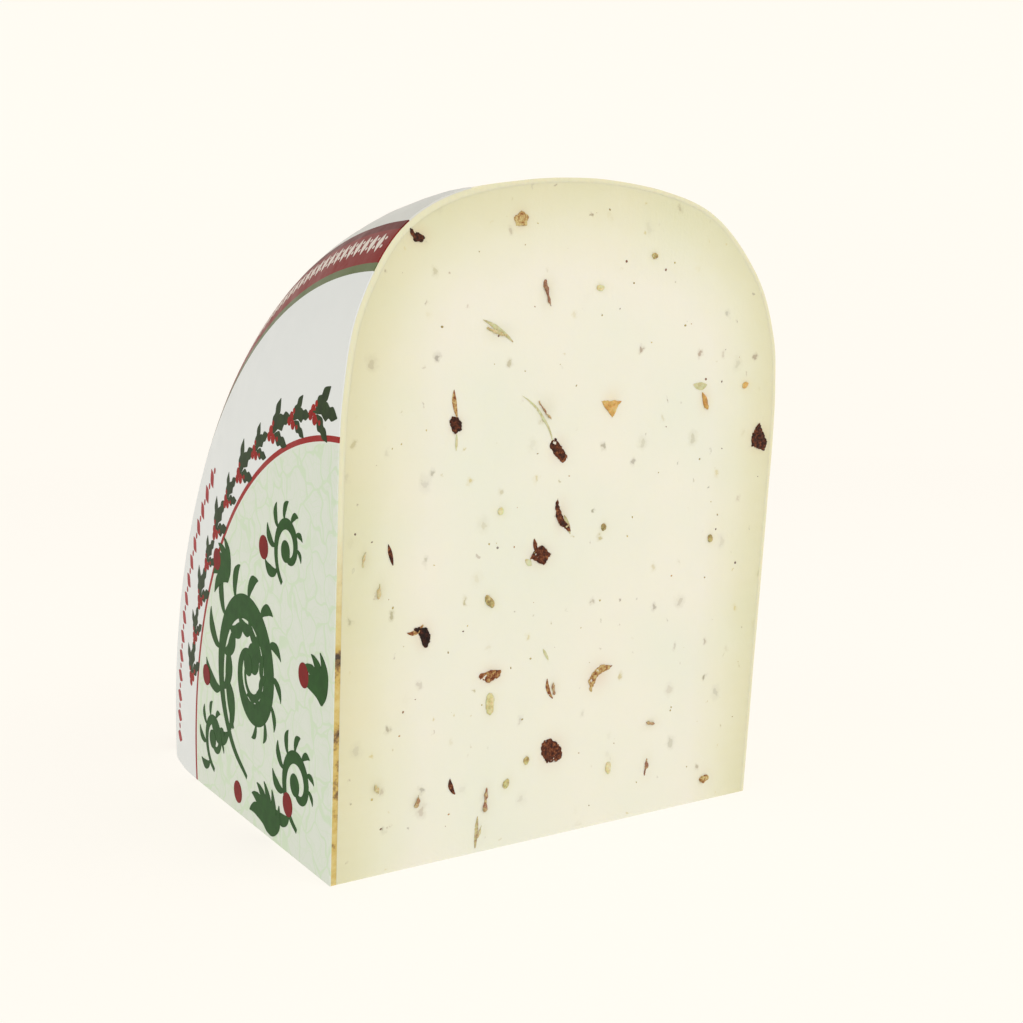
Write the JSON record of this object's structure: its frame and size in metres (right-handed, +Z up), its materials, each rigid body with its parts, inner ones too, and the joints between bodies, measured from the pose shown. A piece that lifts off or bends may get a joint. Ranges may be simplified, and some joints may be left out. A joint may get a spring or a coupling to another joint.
{
  "type": "quarter wedge of a herb cheese wheel",
  "caption": "Quarter wedge of a small round cheese with pepper and herb pieces, coated rind and a printed label, standing on a cut face.",
  "frame": {"origin": "middle of the bounding box's footprint, on the surface that the lower cut face rests on", "axes": "+X along the wheel's own axis, from the labelled face to the plain face; +Y from the upright cut face back to the rim; +Z up"},
  "size_m": [0.1006, 0.1414, 0.128],
  "materials": {
    "cheese_paste": "smooth knife-cut semi-hard cheese, ivory in the middle and yellower towards the rind",
    "wheel_coating": "brushed-on cheese coating, cream, satin, with the faint print of the mould cloth",
    "printed_label": "thin white film printed in green and red, satin, slightly creased over the shoulder",
    "pepper_flake": "dried red pepper flake, dark red-brown, wrinkled",
    "yellow_pepper_flake": "dried yellow pepper flake, amber, slightly glossy",
    "seed": "pepper seed, pale ochre, smooth",
    "herb_stalk": "dried herb stalk or leaf scrap, olive brown"
  },
  "bodies": {
    "root": {"cheese_paste": "cheese_paste", "wheel_coating": "wheel_coating", "printed_label": "printed_label", "herb_stalk_01": "herb_stalk", "herb_stalk_02": "herb_stalk", "herb_stalk_03": "herb_stalk", "herb_stalk_04": "herb_stalk", "herb_stalk_05": "herb_stalk", "herb_stalk_06": "herb_stalk", "herb_stalk_07": "herb_stalk", "herb_stalk_08": "herb_stalk", "herb_stalk_09": "herb_stalk", "herb_stalk_10": "herb_stalk", "herb_stalk_11": "herb_stalk", "herb_stalk_12": "herb_stalk", "herb_stalk_13": "herb_stalk", "herb_stalk_14": "herb_stalk", "herb_stalk_15": "herb_stalk", "pepper_flake_01": "pepper_flake", "pepper_flake_02": "pepper_flake", "pepper_flake_03": "pepper_flake", "pepper_flake_04": "pepper_flake", "pepper_flake_05": "pepper_flake", "pepper_flake_06": "pepper_flake", "pepper_flake_07": "pepper_flake", "pepper_flake_08": "pepper_flake", "pepper_flake_09": "pepper_flake", "pepper_flake_10": "pepper_flake", "pepper_flake_11": "pepper_flake", "pepper_flake_12": "pepper_flake", "pepper_flake_13": "pepper_flake", "pepper_flake_14": "pepper_flake", "pepper_flake_15": "pepper_flake", "pepper_flake_16": "pepper_flake", "pepper_flake_17": "pepper_flake", "seed_01": "seed", "seed_02": "seed", "seed_03": "seed", "seed_04": "seed", "seed_05": "seed", "seed_06": "seed", "seed_07": "seed", "seed_08": "seed", "seed_09": "seed", "seed_10": "seed", "seed_11": "seed", "seed_12": "seed", "seed_13": "seed", "yellow_pepper_flake_01": "yellow_pepper_flake", "yellow_pepper_flake_02": "yellow_pepper_flake", "yellow_pepper_flake_03": "yellow_pepper_flake"}
  },
  "joints": []
}
